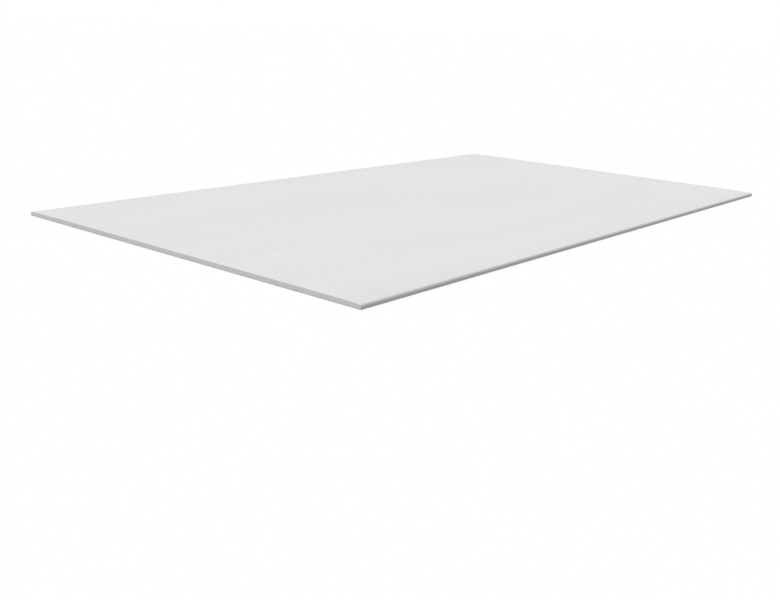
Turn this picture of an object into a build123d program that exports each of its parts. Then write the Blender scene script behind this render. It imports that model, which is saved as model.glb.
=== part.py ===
from build123d import *
import os

# Gypsum fibre floor board: one pressed sheet, thinned along its two long edges and sawn square at its two ends.
# Sizes are in millimetres. The origin is the centre of the underside and +Z is up, out of the face.
# The length runs along Y and the width along X.

# Overall size of the board
board_length = 2000.0
board_width = 1200.0
board_thickness = 12.5

# Strip along each long edge that slopes down from the face, and the radius of the soft start of its slope.
# Two boards laid edge to edge leave a shallow trough there for jointing compound and tape.
taper_width = 80.0
taper_depth = 1.5
taper_blend = 500.0

# Rounding of the long edges on the face side
edge_radius = 6.0

# Chamfers of the arrises, along all four sides of the underside and round the rest of each sawn end
back_arris = 0.8
saw_arris = 0.4

half_width = board_width / 2
edge_height = board_thickness - taper_depth

with BuildPart() as floor_board:
    # Cross-section, drawn at one end and pressed through the whole length
    with BuildSketch(Plane.XZ.offset(-board_length / 2)) as cross_section:
        with BuildLine():
            Polyline(
                (-half_width, 0),
                (half_width, 0),
                (half_width, edge_height),
                (half_width - taper_width, board_thickness),
                (taper_width - half_width, board_thickness),
                (-half_width, edge_height),
                close=True,
            )
        make_face()
        outer_corners = cross_section.vertices().group_by(Axis.Y)[1]
        fillet(outer_corners, edge_radius)
        slope_starts = cross_section.vertices().group_by(Axis.Y)[-1]
        fillet(slope_starts, taper_blend)
    extrude(amount=board_length)

    # Arrises of the underside
    underside = floor_board.faces().sort_by(Axis.Z)[0]
    chamfer(underside.edges(), back_arris)

    # Arrises of the sawn ends, all round each end but for its side along the underside
    end_edges = floor_board.faces().filter_by(Axis.Y).edges()
    chamfer(end_edges - end_edges.group_by(Axis.Z)[0], saw_arris)

floor_board.part.label = "floor_board"
os.makedirs("parts", exist_ok=True)
export_step(floor_board.part, "parts/floor_board.step")
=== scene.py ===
"""Dress the gypsum fibre floor board: its worn sheet, its finishes, the studio and the camera."""
from __future__ import annotations

import logging
import math
import random
from dataclasses import dataclass, field
from enum import Enum

import bmesh
import bpy
from mathutils import Matrix, Vector, noise

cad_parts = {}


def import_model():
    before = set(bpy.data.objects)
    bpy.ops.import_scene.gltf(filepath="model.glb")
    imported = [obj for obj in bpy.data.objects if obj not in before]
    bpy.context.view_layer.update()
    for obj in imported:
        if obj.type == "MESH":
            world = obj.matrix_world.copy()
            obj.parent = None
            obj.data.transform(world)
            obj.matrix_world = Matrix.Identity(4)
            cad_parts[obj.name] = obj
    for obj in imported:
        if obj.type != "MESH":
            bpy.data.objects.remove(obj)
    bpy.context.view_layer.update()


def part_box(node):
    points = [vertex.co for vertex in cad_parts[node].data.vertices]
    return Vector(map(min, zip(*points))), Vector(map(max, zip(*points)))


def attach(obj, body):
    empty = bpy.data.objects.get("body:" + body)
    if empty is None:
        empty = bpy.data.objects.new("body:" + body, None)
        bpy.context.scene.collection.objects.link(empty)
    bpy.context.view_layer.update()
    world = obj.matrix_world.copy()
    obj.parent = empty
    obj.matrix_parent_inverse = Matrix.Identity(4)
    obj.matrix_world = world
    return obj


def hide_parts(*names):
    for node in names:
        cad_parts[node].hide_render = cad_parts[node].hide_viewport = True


LOG = logging.getLogger("floor_board")

Triple = tuple[float, float, float]
Socket = bpy.types.NodeSocket
Mesh = bmesh.types.BMesh
Edge = bmesh.types.BMEdge
Face = bmesh.types.BMFace

# Distance in metres within which two places count as one
TOUCH = 1e-6

# Distance in metres within which a cut keeps to a point that is already there
SNAP = 5e-5

# Weights of X, Y and Z that set the order of the faces, so that each run makes the same mesh
FACE_ORDER = Vector((1.0, 7.1, 53.3))

# Sockets of a Mix node that mixes colours: its share, its two colours and its result
MIX_SHARE = 0
MIX_FIRST = 6
MIX_SECOND = 7
MIX_RESULT = 2


class Side(Enum):
    """Sides of the sheet that have a finish of their own, by material slot."""

    FACE = 0
    LONG_EDGE = 1
    SAWN_END = 2
    BACK = 3


@dataclass(frozen=True)
class Grain:
    """A noise pattern of the gypsum, which may be stretched along one direction.

    Attributes:
        scale: Grains per metre along X, Y and Z.
        low: Noise value at which the pattern starts to show.
        high: Noise value from which it shows fully.
        turn: Turn of the pattern about Z, in radians.
        detail: Octaves of finer grain.
        roughness: Weight of each finer octave.
    """

    scale: Triple
    low: float
    high: float
    turn: float = 0.0
    detail: float = 2.0
    roughness: float = 0.5


# Broad streaks along the length, from the way the sheet was laid up
STREAKS = Grain(scale=(6.0, 1.1, 6.0), low=0.34, high=0.66, detail=4.0, roughness=0.55)

# Small cloudy patches where the fibres lie closer together
FLOCS = Grain(scale=(70.0, 52.0, 70.0), low=0.3, high=0.7, detail=3.0, roughness=0.6)

# Short fibres, lying in several directions in the plane of the sheet
THREAD_TURNS = (0.35, 1.27, 2.46)
THREADS = tuple(
    Grain(scale=(620.0, 95.0, 620.0), low=0.64, high=0.74, turn=turn, detail=1.0)
    for turn in THREAD_TURNS
)

# Fine pits of the gypsum; their hollows also get painted shade in the colour
PITS = Grain(scale=(420.0, 420.0, 420.0), low=0.32, high=0.55, detail=4.0, roughness=0.7)

# Noise values between which the roughness rises, from the pits to the grain that stands proud
ROUGHNESS_SPAN = (0.3, 0.7)

# Long faint marks of the sander
SANDING = Grain(scale=(260.0, 2.5, 30.0), low=0.5, high=0.8, turn=0.02, detail=3.0, roughness=0.6)

# Upright marks of the saw teeth
SAW_TEETH = Grain(scale=(900.0, 60.0, 45.0), low=0.0, high=1.0, detail=2.0, roughness=0.6)

# Uneven limit of the strips that the sander doesn't reach
STRIP_LIMIT = Grain(scale=(30.0, 9.0, 30.0), low=0.0, high=1.0, detail=3.0, roughness=0.6)


class NodeBench:
    """Bench on which the nodes of one material or of the sky are set up and linked."""

    def __init__(self, owner: bpy.types.Material | bpy.types.World) -> None:
        """Start with no nodes.

        Args:
            owner: Material or world that the nodes belong to.
        """
        owner.use_nodes = True
        self.tree = owner.node_tree
        self.tree.nodes.clear()

    def add(self, kind: str, **settings: object) -> bpy.types.Node:
        """Add a node.

        Args:
            kind: Node type, without the ShaderNode in front.
            **settings: Properties of the node.

        Returns:
            The new node.
        """
        node = self.tree.nodes.new("ShaderNode" + kind)
        for key, value in settings.items():
            setattr(node, key, value)
        return node

    def link(self, start: Socket, end: Socket) -> None:
        """Link an output to an input."""
        self.tree.links.new(start, end)

    def pattern(self, place: Socket, grain: Grain) -> Socket:
        """Add the noise of a pattern.

        Args:
            place: Object coordinates, in metres.
            grain: Pattern to add.

        Returns:
            The noise value, from 0 to 1.
        """
        turned = self.add("Mapping", vector_type="POINT")
        turned.inputs["Rotation"].default_value = (0.0, 0.0, grain.turn)
        self.link(place, turned.inputs["Vector"])
        stretched = self.add("Mapping", vector_type="POINT")
        stretched.inputs["Scale"].default_value = grain.scale
        self.link(turned.outputs["Vector"], stretched.inputs["Vector"])
        texture = self.add("TexNoise")
        texture.inputs["Scale"].default_value = 1.0
        texture.inputs["Detail"].default_value = grain.detail
        texture.inputs["Roughness"].default_value = grain.roughness
        self.link(stretched.outputs["Vector"], texture.inputs["Vector"])
        return texture.outputs["Fac"]

    def span(self, value: Socket, low: float, high: float, to_low: float, to_high: float) -> Socket:
        """Map one range of a value to another, held at both ends.

        Args:
            value: Value to map.
            low: Start of its range.
            high: End of its range.
            to_low: Result at the start.
            to_high: Result at the end.

        Returns:
            The mapped value.
        """
        mapped = self.add("MapRange", clamp=True)
        mapped.inputs["From Min"].default_value = low
        mapped.inputs["From Max"].default_value = high
        mapped.inputs["To Min"].default_value = to_low
        mapped.inputs["To Max"].default_value = to_high
        self.link(value, mapped.inputs["Value"])
        return mapped.outputs["Result"]

    def shown(self, place: Socket, grain: Grain, share: float) -> Socket:
        """Add a pattern that shows from 0 up to a share of its own."""
        return self.span(self.pattern(place, grain), grain.low, grain.high, 0.0, share)

    def combine(self, operation: str, first: Socket, second: Socket | float) -> Socket:
        """Combine two values.

        Args:
            operation: Operation of the math node.
            first: First value.
            second: Second value, or a constant.

        Returns:
            The result.
        """
        node = self.add("Math", operation=operation)
        self.link(first, node.inputs[0])
        if isinstance(second, float):
            node.inputs[1].default_value = second
        else:
            self.link(second, node.inputs[1])
        return node.outputs[0]

    def mix(self, share: Socket, first: Socket | Triple, second: Socket | Triple) -> Socket:
        """Mix two colours.

        Args:
            share: Share of the second colour.
            first: First colour.
            second: Second colour.

        Returns:
            The mixed colour.
        """
        node = self.add("Mix", data_type="RGBA")
        self.link(share, node.inputs[MIX_SHARE])
        for index, colour in ((MIX_FIRST, first), (MIX_SECOND, second)):
            if isinstance(colour, tuple):
                node.inputs[index].default_value = (*colour, 1.0)
            else:
                self.link(colour, node.inputs[index])
        return node.outputs[MIX_RESULT]

    def seen(self) -> Socket:
        """Tell rays that show the studio from rays that only light the sheet.

        Returns:
            1 for rays that show the studio, 0 for the rest.
        """
        path = self.add("LightPath")
        direct = self.combine("MAXIMUM", path.outputs["Is Camera Ray"], path.outputs["Is Glossy Ray"])
        return self.combine("MAXIMUM", direct, path.outputs["Is Transmission Ray"])


@dataclass(frozen=True)
class GypsumFinish:
    """Finish of one side of the sheet: set gypsum with cellulose fibres in it.

    Attributes:
        name: Name of the material.
        dull: Colour of its greyer patches.
        pale: Colour of its paler patches.
        fibre: Colour of the fibres that show.
        fibre_share: How strongly the fibres show.
        fleck_share: How strongly the small dark flecks show.
        pit_shade_share: How strongly the pits darken the colour.
        relief: Height of the grain, in metres.
        roughness: Roughness of the matt surface.
        sanding_share: How strongly the sanding marks darken the colour.
        strip_share: How much greyer the sloping strips are, which the sander doesn't reach.
        saw_share: How much the saw marks add to the relief.
        smoother: Drop of the roughness in the pits.
        rougher: Rise of the roughness on the grain that stands proud.
        streak_share: Share of the patches that are streaks, the rest being small flocs.
        fleck: Colour of the flecks.
        painted_pit_shade: Colour of the shade painted into the pits.
        scuff: Colour of the sanding marks.
        flecks_per_metre: Number of cells per metre that may hold a fleck.
        fleck_core: Radius of the full colour of a fleck, in cells.
        fleck_rim: Radius at which a fleck ends, in cells.
        fleck_wobble: How far the outline of a fleck wanders, in cells.
        strip_from: Distance from the middle of the board at which a strip starts.
        strip_fade: Width over which it fades in.
        fibre_lift: Share of the relief that a fibre stands proud.
        bump: Strength of the relief.
        gloss: Level of the faint reflection.
    """

    name: str
    dull: Triple
    pale: Triple
    fibre: Triple
    fibre_share: float
    fleck_share: float
    pit_shade_share: float
    relief: float
    roughness: float
    sanding_share: float = 0.0
    strip_share: float = 0.0
    saw_share: float = 0.0
    smoother: float = 0.06
    rougher: float = 0.04
    streak_share: float = 0.5
    fleck: Triple = (0.40, 0.38, 0.345)
    # Dark grey of the shade painted into the pits
    painted_pit_shade: Triple = (0.18, 0.178, 0.172)
    scuff: Triple = (0.4, 0.4, 0.395)
    flecks_per_metre: float = 80.0
    fleck_core: float = 0.1
    fleck_rim: float = 0.17
    fleck_wobble: float = 0.12
    strip_from: float = 0.518
    strip_fade: float = 0.024
    fibre_lift: float = 0.35
    bump: float = 0.6
    gloss: float = 0.25

    def material(self) -> bpy.types.Material:
        """Make the material.

        Returns:
            The material, on object coordinates.
        """
        material = bpy.data.materials.new(self.name)
        bench = NodeBench(material)
        place = bench.add("TexCoord").outputs["Object"]
        fibres = self.fibres(bench, place)
        pits = bench.pattern(place, PITS)
        skin = bench.add("BsdfPrincipled")
        skin.inputs["Specular IOR Level"].default_value = self.gloss
        smooth = self.roughness - self.smoother
        rough = self.roughness + self.rougher
        bench.link(bench.span(pits, *ROUGHNESS_SPAN, smooth, rough), skin.inputs["Roughness"])
        bench.link(self.colour(bench, place, fibres, pits), skin.inputs["Base Color"])
        bench.link(self.normal(bench, place, fibres, pits), skin.inputs["Normal"])
        output = bench.add("OutputMaterial")
        bench.link(skin.outputs["BSDF"], output.inputs["Surface"])
        return material

    def colour(self, bench: NodeBench, place: Socket, fibres: Socket, pits: Socket) -> Socket:
        """Lay the colours over each other, from the broad streaks to the shade painted into the fine
        pits.

        Args:
            bench: Bench of the material.
            place: Object coordinates.
            fibres: How much of a fibre shows.
            pits: Noise of the pits.

        Returns:
            The colour.
        """
        streaks = bench.shown(place, STREAKS, self.streak_share)
        flocs = bench.shown(place, FLOCS, 1.0 - self.streak_share)
        colour = bench.mix(bench.combine("ADD", streaks, flocs), self.dull, self.pale)
        colour = bench.mix(bench.combine("MULTIPLY", fibres, self.fibre_share), colour, self.fibre)
        colour = bench.mix(self.flecks(bench, place, pits), colour, self.fleck)
        # Painted shade: darken the hollows of the pits, where the relief sinks lowest
        colour = bench.mix(bench.span(pits, PITS.low, PITS.high, self.pit_shade_share, 0.0), colour, self.painted_pit_shade)
        if self.sanding_share > 0.0:
            colour = bench.mix(bench.shown(place, SANDING, self.sanding_share), colour, self.scuff)
        if self.strip_share > 0.0:
            colour = bench.mix(self.strips(bench, place), colour, self.fibre)
        return colour

    def normal(self, bench: NodeBench, place: Socket, fibres: Socket, pits: Socket) -> Socket:
        """Raise the grain, the fibres and the saw marks.

        Args:
            bench: Bench of the material.
            place: Object coordinates.
            fibres: How much of a fibre shows.
            pits: Noise of the pits.

        Returns:
            The normal of the rough surface.
        """
        height = bench.combine("ADD", bench.combine("MULTIPLY", fibres, self.fibre_lift), pits)
        if self.saw_share > 0.0:
            height = bench.combine("ADD", height, bench.shown(place, SAW_TEETH, self.saw_share))
        relief = bench.add("Bump")
        relief.inputs["Strength"].default_value = self.bump
        relief.inputs["Distance"].default_value = self.relief
        bench.link(height, relief.inputs["Height"])
        return relief.outputs["Normal"]

    def fibres(self, bench: NodeBench, place: Socket) -> Socket:
        """Lay the short fibres.

        Args:
            bench: Bench of the material.
            place: Object coordinates.

        Returns:
            How much of a fibre shows, from 0 to 1.
        """
        laid = bench.shown(place, THREADS[0], 1.0)
        for threads in THREADS[1:]:
            laid = bench.combine("MAXIMUM", laid, bench.shown(place, threads, 1.0))
        return laid

    def flecks(self, bench: NodeBench, place: Socket, pits: Socket) -> Socket:
        """Scatter small dark flecks of paper, where the surface cuts through them.

        Args:
            bench: Bench of the material.
            place: Object coordinates.
            pits: Noise of the pits, which makes the outlines ragged.

        Returns:
            The flecks' share of the colour.
        """
        cells = bench.add("TexVoronoi")
        cells.inputs["Scale"].default_value = self.flecks_per_metre
        bench.link(place, cells.inputs["Vector"])
        wobble = bench.combine("MULTIPLY", pits, self.fleck_wobble)
        ragged = bench.combine("ADD", cells.outputs["Distance"], wobble)
        return bench.span(ragged, self.fleck_core, self.fleck_rim, self.fleck_share, 0.0)

    def strips(self, bench: NodeBench, place: Socket) -> Socket:
        """Find the strips that slope down to the long edges.

        Args:
            bench: Bench of the material.
            place: Object coordinates.

        Returns:
            The strips' share of the greyer tone.
        """
        axes = bench.add("SeparateXYZ")
        bench.link(place, axes.inputs["Vector"])
        drift = bench.shown(place, STRIP_LIMIT, self.strip_fade / 2)
        reach = bench.combine("ADD", bench.combine("ABSOLUTE", axes.outputs["X"], 0.0), drift)
        start = self.strip_from + self.strip_fade / 4
        return bench.span(reach, start, start + self.strip_fade, 0.0, self.strip_share)


@dataclass(frozen=True)
class Nick:
    """One small nick in an arris.

    Attributes:
        place: Middle of the nick.
        half_length: Half its length, in metres.
        depth: Its depth, in metres.
    """

    place: Vector
    half_length: float
    depth: float


@dataclass(frozen=True)
class ArrisWear:
    """Handling wear along the arrises: a slight rub all along and a few small nicks.

    Attributes:
        reach: Distance from the sharp line within which the sheet is worn, in metres.
        rub: Depth of the rub, in metres.
        rub_level: Share of that depth that is worn on average.
        long_waves: Waves of the rub per metre.
        long_share: Share of the depth by which they rise and fall.
        short_waves: Finer waves of the rub per metre.
        short_share: Share of the depth by which they rise and fall.
        nick_count: Number of nicks.
        nick_depth: Depth of the deepest nick, in metres.
        shallowest: Depth of the shallowest nick, as a share of the deepest.
        nick_length: Half length of the longest nick, in metres.
        shortest: Length of the shortest nick, as a share of the longest.
        long_edge_share: Share of the nicks that lie along the long edges.
        seed: Seed of the nicks.
    """

    reach: float = 0.0018
    rub: float = 0.00022
    rub_level: float = 0.5
    long_waves: float = 38.0
    long_share: float = 0.5
    short_waves: float = 170.0
    short_share: float = 0.4
    nick_count: int = 70
    nick_depth: float = 0.0009
    shallowest: float = 0.3
    nick_length: float = 0.009
    shortest: float = 0.35
    long_edge_share: float = 0.6
    seed: int = 11

    def nicks(self, low: Vector, high: Vector) -> list[Nick]:
        """Scatter the nicks along the rim of the sheet, most of them on its back.

        Args:
            low: Lowest corner of the sheet.
            high: Highest corner of the sheet.

        Returns:
            The nicks.
        """
        dice = random.Random(self.seed)
        found = []
        for _ in range(self.nick_count):
            height = dice.choice((low.z, low.z, high.z))
            if dice.random() < self.long_edge_share:
                place = Vector((dice.choice((low.x, high.x)), dice.uniform(low.y, high.y), low.z))
            else:
                place = Vector((dice.uniform(low.x, high.x), dice.choice((low.y, high.y)), height))
            size = dice.random() ** 2
            half_length = self.nick_length * (self.shortest + (1.0 - self.shortest) * size)
            depth = self.nick_depth * (self.shallowest + (1.0 - self.shallowest) * size)
            found.append(Nick(place, half_length, depth))
        return found

    def depth_at(self, point: Vector, nicks: list[Nick]) -> float:
        """Depth of the wear at one place of the rim.

        Args:
            point: Place on the sheet.
            nicks: Nicks of the sheet.

        Returns:
            The depth, in metres.
        """
        long_wave = self.long_share * noise.noise(point * self.long_waves)
        short_wave = self.short_share * noise.noise(point * self.short_waves)
        depth = self.rub * max(0.0, self.rub_level + long_wave + short_wave)
        for nick in nicks:
            away = (point - nick.place).length / nick.half_length
            if away < 1.0:
                depth += nick.depth * (1.0 - away * away)
        return depth


@dataclass
class FloorBoard:
    """The pressed sheet: thinned and rounded long edges, sawn ends and worn arrises.

    Attributes:
        low: Lowest corner of the sheet, in metres.
        high: Highest corner of the sheet.
        finishes: Finish of each side.
        taper_width: Width of the strip that slopes down to each long edge.
        taper_depth: Depth of that slope at the edge.
        taper_blend: Radius of the soft start of the slope.
        edge_radius: Rounding of the long edges on the face side.
        back_arris: Arris along the back.
        saw_arris: Arris round the sawn ends.
        blend_segments: Segments across the soft start of each slope.
        round_segments: Segments round each long edge.
        arris_segments: Segments across each arris.
        rim: Width of the strip along the rim that carries the wear.
        end_margin: Width of the margin that carries it on the sawn ends.
        step: Spacing of the cuts along the rim.
        end_normal: Y of the normal from which a mesh face belongs to a sawn end.
        flat_normal: Z of the normal from which it belongs to the face or to the back.
        sharp_deg: Angle between mesh faces from which an edge looks sharp.
        wear: Wear of the arrises.
    """

    low: Vector
    high: Vector
    finishes: dict[Side, GypsumFinish]
    taper_width: float = 0.080
    taper_depth: float = 0.0015
    taper_blend: float = 0.5
    edge_radius: float = 0.006
    back_arris: float = 0.0008
    saw_arris: float = 0.0004
    blend_segments: int = 4
    round_segments: int = 7
    arris_segments: int = 2
    rim: float = 0.003
    end_margin: float = 0.0014
    step: float = 0.004
    end_normal: float = 0.6
    flat_normal: float = 0.75
    sharp_deg: float = 14.0
    wear: ArrisWear = field(default_factory=ArrisWear)

    def build(self) -> bpy.types.Object:
        """Build and dress the sheet.

        Returns:
            The finished object, at the origin.
        """
        bm = bmesh.new()
        self.press(bm)
        self.round_long_edges(bm)
        self.ease_arrises(bm)
        self.cut_rims(bm)
        self.rub_arrises(bm)
        self.mark_sides(bm)
        mesh = bpy.data.meshes.new("floor_board_sheet")
        bm.to_mesh(mesh)
        bm.free()
        mesh.set_sharp_from_angle(angle=math.radians(self.sharp_deg))
        for side in Side:
            mesh.materials.append(self.finishes[side].material())
        sheet = bpy.data.objects.new("floor_board_sheet", mesh)
        bpy.context.scene.collection.objects.link(sheet)
        return sheet

    def press(self, bm: Mesh) -> None:
        """Draw the cross-section at both ends and join the two through the whole length.

        Args:
            bm: Mesh to build in.
        """
        shoulder = self.high.z - self.taper_depth
        corners = (
            (self.low.x, self.low.z),
            (self.high.x, self.low.z),
            (self.high.x, shoulder),
            (self.high.x - self.taper_width, self.high.z),
            (self.low.x + self.taper_width, self.high.z),
            (self.low.x, shoulder),
        )
        for end in (self.low.y, self.high.y):
            bm.faces.new([bm.verts.new((x, end, z)) for x, z in corners])
        bmesh.ops.bridge_loops(bm, edges=bm.edges[:])
        bmesh.ops.recalc_face_normals(bm, faces=bm.faces[:])

    def bevel(self, bm: Mesh, edges: list[Edge], offset: float, segments: int) -> None:
        """Bevel edges with a round profile.

        Args:
            bm: Mesh to work on.
            edges: Edges to bevel.
            offset: Width of the bevel on each side.
            segments: Number of segments.
        """
        bmesh.ops.bevel(
            bm,
            geom=edges,
            offset=offset,
            offset_type="OFFSET",
            segments=segments,
            profile=0.5,
            affect="EDGES",
            material=-1,
        )

    def lengthwise(self, bm: Mesh, shortest: float) -> list[Edge]:
        """Edges that run along the length for more than a shortest distance."""
        return [edge for edge in bm.edges if abs(edge.verts[0].co.y - edge.verts[1].co.y) > shortest]

    def round_long_edges(self, bm: Mesh) -> None:
        """Round the long edges on the face side and soften the start of their slopes.

        Args:
            bm: Mesh to work on.
        """
        slope = math.atan2(self.taper_depth, self.taper_width)
        shoulder = self.high.z - self.taper_depth
        edges = self.lengthwise(bm, self.rim)
        shoulders = [edge for edge in edges if abs(edge.verts[0].co.z - shoulder) < TOUCH]
        starts = [edge for edge in edges if abs(edge.verts[0].co.z - self.high.z) < TOUCH]
        blend = self.taper_blend * math.tan(slope / 2)
        rounding = self.edge_radius * math.tan((math.pi / 2 - slope) / 2)
        self.bevel(bm, starts, blend, self.blend_segments)
        self.bevel(bm, shoulders, rounding, self.round_segments)

    def ease_arrises(self, bm: Mesh) -> None:
        """Break the arrises of the back and of the sawn ends.

        Args:
            bm: Mesh to work on.
        """
        back = [edge for edge in bm.edges if all(vert.co.z - self.low.z < TOUCH for vert in edge.verts)]
        self.bevel(bm, back, self.back_arris, self.arris_segments)
        rims = []
        for edge in bm.edges:
            first, second = (vert.co for vert in edge.verts)
            at_one_end = self.to_end(first) < TOUCH and abs(first.y - second.y) < TOUCH
            raised = max(first.z, second.z) > self.low.z + self.back_arris + SNAP
            if at_one_end and raised:
                rims.append(edge)
        self.bevel(bm, rims, self.saw_arris, self.arris_segments)

    def to_end(self, point: Vector) -> float:
        """Distance of a point from the nearer sawn end."""
        return min(point.y - self.low.y, self.high.y - point.y)

    def to_edge(self, point: Vector) -> float:
        """Distance of a point from the nearer long edge."""
        return min(point.x - self.low.x, self.high.x - point.x)

    def to_face(self, point: Vector) -> float:
        """Distance of a point below the face, along Z."""
        short = max(0.0, self.taper_width - self.to_edge(point))
        return self.high.z - self.taper_depth * short / self.taper_width - point.z

    def to_back(self, point: Vector) -> float:
        """Distance of a point above the back."""
        return point.z - self.low.z

    def cut(self, bm: Mesh, faces: list[Face], place: Vector, normal: Vector) -> list[Face]:
        """Cut faces along a plane.

        Args:
            bm: Mesh to work on.
            faces: Faces to cut.
            place: Point of the plane.
            normal: Normal of the plane.

        Returns:
            The faces that lie past the plane.
        """
        edges = dict.fromkeys(edge for face in faces for edge in face.edges)
        verts = dict.fromkeys(vert for face in faces for vert in face.verts)
        result = bmesh.ops.bisect_plane(
            bm,
            geom=[*verts, *edges, *faces],
            dist=SNAP,
            plane_co=place,
            plane_no=normal,
        )
        pieces = [item for item in result["geom"] if isinstance(item, Face)]
        return [face for face in pieces if (face.calc_center_median() - place).dot(normal) > 0.0]

    def cut_rims(self, bm: Mesh) -> None:
        """Cut a strip along every rim, and divide the strips finely enough to carry wear.

        Args:
            bm: Mesh to work on.
        """
        ends = [face for face in bm.faces if all(self.to_end(vert.co) < TOUCH for vert in face.verts)]
        bmesh.ops.inset_region(bm, faces=ends, thickness=self.end_margin, use_even_offset=True)
        along = Vector((0.0, 1.0, 0.0))
        across = Vector((1.0, 0.0, 0.0))
        for inset in (self.rim, self.rim + self.step):
            self.cut(bm, bm.faces[:], along * (self.low.y + inset), along)
            self.cut(bm, bm.faces[:], along * (self.high.y - inset), along)
        for place in (self.low.x + self.rim, self.high.x - self.rim):
            under = [face for face in bm.faces if face.normal.z < -self.flat_normal]
            self.cut(bm, under, across * place, across)
        strips = [face for face in bm.faces if self.to_end(face.calc_center_median()) < self.rim]
        width = self.high.x - self.low.x
        count = round(width / self.step)
        for index in range(1, count):
            strips = self.cut(bm, strips, across * (self.low.x + width * index / count), across)
        count = round((self.high.y - self.low.y) / self.step)
        edges = self.lengthwise(bm, self.rim + self.step)
        bmesh.ops.subdivide_edges(bm, edges=edges, cuts=count, use_grid_fill=True)
        uneven = [face for face in bm.faces if len(face.verts) > 4]
        bmesh.ops.triangulate(bm, faces=uneven, ngon_method="BEAUTY")
        bm.faces.sort(key=lambda face: face.calc_center_median().dot(FACE_ORDER))

    def rub_arrises(self, bm: Mesh) -> None:
        """Wear the arrises inwards, a little all along and more in the nicks.

        Args:
            bm: Mesh to work on.
        """
        nicks = self.wear.nicks(self.low, self.high)
        for vert in bm.verts:
            point = vert.co.copy()
            end, edge = self.to_end(point), self.to_edge(point)
            inwards_x = -math.copysign(1.0, point.x)
            inwards_y = -math.copysign(1.0, point.y)
            arrises = (
                (end, self.to_face(point), Vector((0.0, inwards_y, -1.0))),
                (end, self.to_back(point), Vector((0.0, inwards_y, 1.0))),
                (edge, self.to_back(point), Vector((inwards_x, 0.0, 1.0))),
                (end, edge, Vector((inwards_x, inwards_y, 0.0))),
            )
            for first, second, inwards in arrises:
                share = 1.0 - math.hypot(first, second) / self.wear.reach
                if share > 0.0:
                    vert.co += inwards.normalized() * share * self.wear.depth_at(point, nicks)

    def mark_sides(self, bm: Mesh) -> None:
        """Give every face of the mesh the finish of its side.

        Args:
            bm: Mesh to work on.
        """
        bm.normal_update()
        for face in bm.faces:
            face.smooth = True
            if abs(face.normal.y) > self.end_normal:
                side = Side.SAWN_END
            elif face.normal.z < -self.flat_normal:
                side = Side.BACK
            elif face.normal.z > self.flat_normal:
                side = Side.FACE
            else:
                side = Side.LONG_EDGE
            face.material_index = side.value


@dataclass(frozen=True)
class Studio:
    """Plain white studio: a floor, an even sky and one soft lamp from above.

    Attributes:
        floor_size: Half the length of the floor, in metres.
        floor_tone: Brightness of the floor as the camera sees it.
        floor_bounce: Brightness of the floor as the sheet's edges see it.
        sky: Strength of the even light from all round.
        sky_tone: Brightness of the sky as the camera sees it.
        lamp: Strength of the lamp.
        lamp_from: Direction that the lamp shines from.
        lamp_distance: Distance at which it hangs, in lengths of that direction.
        lamp_spread_deg: Spread of the lamp, which softens its shadow.
    """

    floor_size: float = 60.0
    floor_tone: float = 1.0
    floor_bounce: float = 0.3
    sky: float = 0.5
    sky_tone: float = 1.0
    lamp: float = 1.84
    lamp_from: Triple = (-0.06, -0.62, 1.0)
    lamp_distance: float = 4.0
    lamp_spread_deg: float = 30.0

    def floor(self) -> bpy.types.Object:
        """Lay the floor under the sheet.

        Returns:
            The floor.
        """
        bm = bmesh.new()
        bmesh.ops.create_grid(bm, x_segments=1, y_segments=1, size=self.floor_size)
        mesh = bpy.data.meshes.new("studio_floor")
        bm.to_mesh(mesh)
        bm.free()
        material = bpy.data.materials.new("studio_floor")
        bench = NodeBench(material)
        tone = bench.mix(bench.seen(), (self.floor_bounce,) * 3, (self.floor_tone,) * 3)
        matt = bench.add("BsdfDiffuse")
        bench.link(tone, matt.inputs["Color"])
        output = bench.add("OutputMaterial")
        bench.link(matt.outputs["BSDF"], output.inputs["Surface"])
        mesh.materials.append(material)
        floor = bpy.data.objects.new("studio_floor", mesh)
        bpy.context.scene.collection.objects.link(floor)
        return floor

    def light(self) -> None:
        """Set the sky and the lamp."""
        world = bpy.data.worlds.new("studio_sky")
        bench = NodeBench(world)
        sky = bench.add("Background")
        sky.inputs["Color"].default_value = (1.0, 1.0, 1.0, 1.0)
        strength = bench.span(bench.seen(), 0.0, 1.0, self.sky, self.sky_tone)
        bench.link(strength, sky.inputs["Strength"])
        output = bench.add("OutputWorld")
        bench.link(sky.outputs["Background"], output.inputs["Surface"])
        bpy.context.scene.world = world
        lamp = bpy.data.lights.new("soft_lamp", "SUN")
        lamp.energy = self.lamp
        lamp.angle = math.radians(self.lamp_spread_deg)
        holder = bpy.data.objects.new("soft_lamp", lamp)
        holder.rotation_mode = "QUATERNION"
        holder.rotation_quaternion = Vector(self.lamp_from).to_track_quat("Z", "Y")
        holder.location = Vector(self.lamp_from) * self.lamp_distance
        bpy.context.scene.collection.objects.link(holder)


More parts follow.
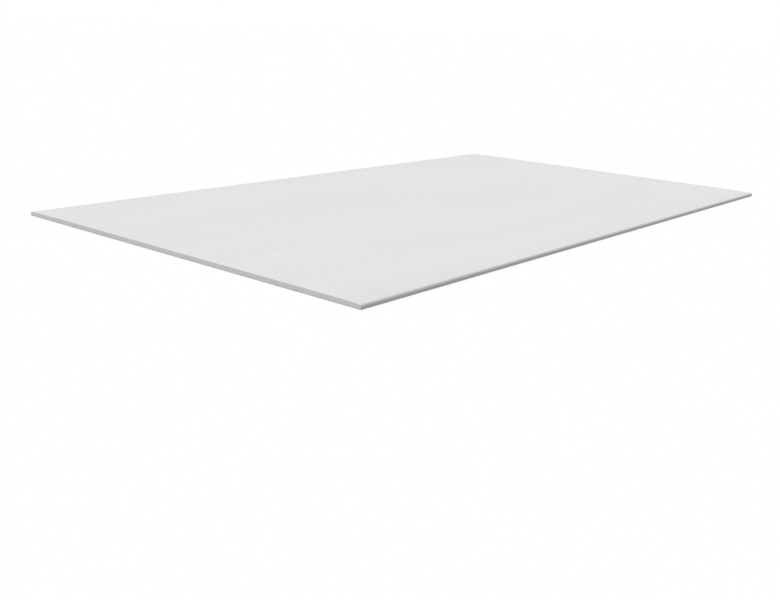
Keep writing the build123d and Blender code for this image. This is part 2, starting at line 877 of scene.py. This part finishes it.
@dataclass(frozen=True)
class ViewPoint:
    """Camera at the photograph's viewing angle.

    Attributes:
        place: Place of the camera, in metres.
        yaw_deg: Heading, from +Y towards +X.
        pitch_deg: Dip below the horizon.
        roll_deg: Turn about the line of sight.
        focal_px: Focal length in pixels of the frame.
        frame_px: Width of the frame in pixels.
        sight_px: How far right of the frame's middle the line of sight meets it, in pixels.
        sensor_mm: Width of the sensor.
        far_limit: Distance up to which the camera sees, in metres.
    """

    place: Triple = (1.8042, -2.3274, 0.5401)
    yaw_deg: float = -39.230
    pitch_deg: float = 16.084
    roll_deg: float = 2.233
    focal_px: float = 968.8
    frame_px: float = 780.0
    sight_px: float = 19.4
    sensor_mm: float = 36.0
    far_limit: float = 500.0

    def camera(self) -> bpy.types.Object:
        """Set up the camera.

        Returns:
            The camera.
        """
        lens = bpy.data.cameras.new("camera")
        lens.sensor_fit = "HORIZONTAL"
        lens.sensor_width = self.sensor_mm
        lens.lens = self.focal_px / self.frame_px * self.sensor_mm
        lens.shift_x = -self.sight_px / self.frame_px
        lens.clip_end = self.far_limit
        camera = bpy.data.objects.new("camera", lens)
        heading = Matrix.Rotation(math.radians(-self.yaw_deg), 4, "Z")
        dip = Matrix.Rotation(math.radians(90.0 - self.pitch_deg), 4, "X")
        roll = Matrix.Rotation(math.radians(self.roll_deg), 4, "Z")
        camera.matrix_world = Matrix.Translation(self.place) @ heading @ dip @ roll
        bpy.context.scene.collection.objects.link(camera)
        bpy.context.scene.camera = camera
        return camera


FINISHES = {
    Side.FACE: GypsumFinish(
        name="sanded_face",
        dull=(0.763, 0.764, 0.765),
        pale=(0.811, 0.811, 0.811),
        fibre=(0.60, 0.59, 0.565),
        fibre_share=0.2,
        fleck_share=0.3,
        pit_shade_share=0.05,
        relief=0.00012,
        roughness=0.9,
        sanding_share=0.07,
        strip_share=0.05,
    ),
    Side.LONG_EDGE: GypsumFinish(
        name="pressed_long_edge",
        dull=(0.715, 0.713, 0.705),
        pale=(0.750, 0.748, 0.740),
        fibre=(0.57, 0.555, 0.525),
        fibre_share=0.22,
        fleck_share=0.3,
        pit_shade_share=0.12,
        relief=0.00025,
        roughness=0.93,
        sanding_share=0.04,
    ),
    Side.SAWN_END: GypsumFinish(
        name="sawn_end",
        dull=(0.715, 0.715, 0.710),
        pale=(0.762, 0.762, 0.757),
        fibre=(0.55, 0.54, 0.515),
        fibre_share=0.28,
        fleck_share=0.3,
        pit_shade_share=0.2,
        relief=0.0004,
        roughness=0.95,
        saw_share=0.7,
    ),
    Side.BACK: GypsumFinish(
        name="pressed_back",
        dull=(0.735, 0.735, 0.730),
        pale=(0.772, 0.772, 0.768),
        fibre=(0.58, 0.57, 0.545),
        fibre_share=0.22,
        fleck_share=0.3,
        pit_shade_share=0.1,
        relief=0.00025,
        roughness=0.93,
    ),
}


def main() -> None:
    """Build the board, the studio and the camera, in that order."""
    logging.basicConfig(level=logging.INFO, format="%(name)s: %(message)s")
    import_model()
    low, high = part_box("floor_board")
    sheet = FloorBoard(low=low, high=high, finishes=FINISHES).build()
    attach(sheet, "root")
    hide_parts("floor_board")
    LOG.info("%s: %d faces", sheet.name, len(sheet.data.polygons))
    studio = Studio()
    floor = studio.floor()
    LOG.info("%s: laid under the sheet", floor.name)
    studio.light()
    camera = ViewPoint().camera()
    LOG.info("%s: focal length %.1f mm", camera.name, camera.data.lens)
    bpy.context.scene.view_settings.view_transform = "Standard"


if __name__ == "__main__":
    main()
